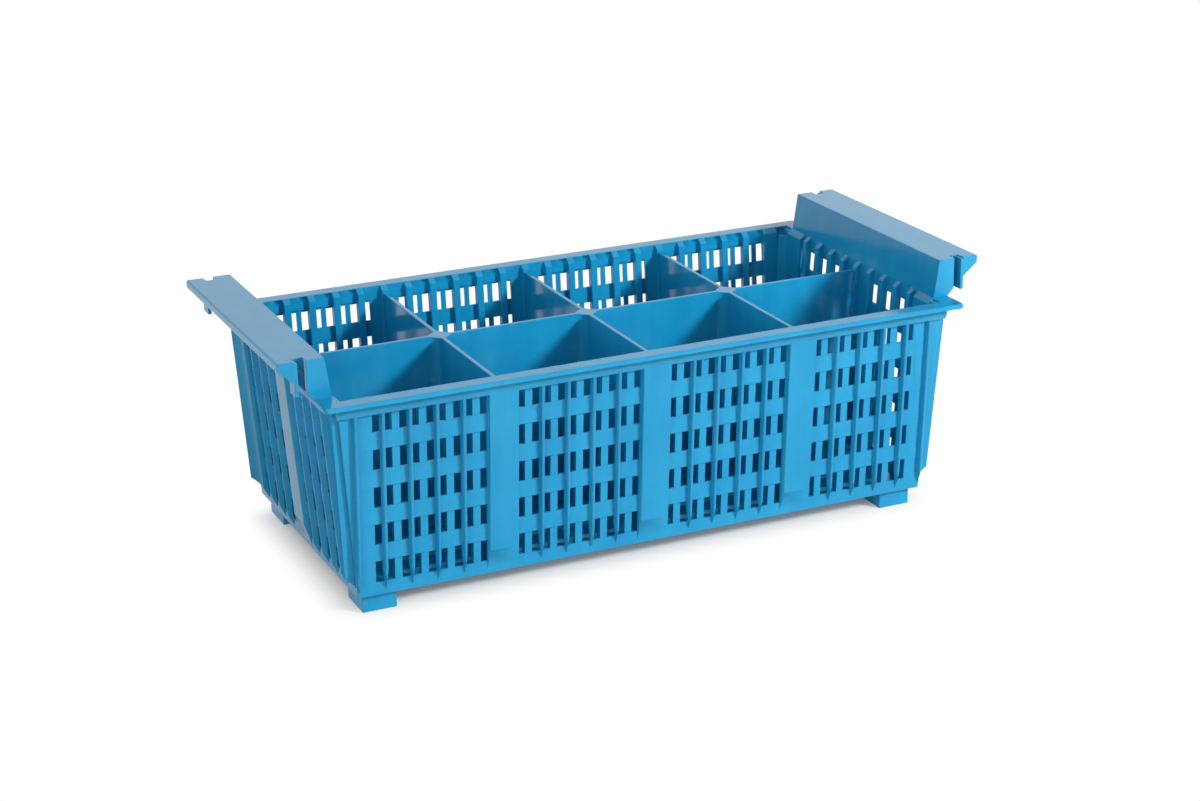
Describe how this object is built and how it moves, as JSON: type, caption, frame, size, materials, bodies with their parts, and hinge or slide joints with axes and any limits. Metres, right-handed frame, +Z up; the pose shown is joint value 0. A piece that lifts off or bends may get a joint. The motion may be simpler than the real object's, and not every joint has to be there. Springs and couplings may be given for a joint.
{
  "type": "dishwasher cutlery basket",
  "caption": "Moulded cutlery basket with slotted walls, open compartments, a flanged rim, corner feet and a raised handle at each end.",
  "frame": {"origin": "middle of the footprint, on the plane the feet stand on", "axes": "+X along the basket's length from handle to handle, +Y towards the back long wall, +Z up out of the compartments"},
  "size_m": [0.43, 0.2036, 0.151],
  "materials": {
    "blue_polypropylene": "satin moulded polypropylene"
  },
  "bodies": {
    "root": {"basket": "blue_polypropylene"}
  },
  "joints": []
}
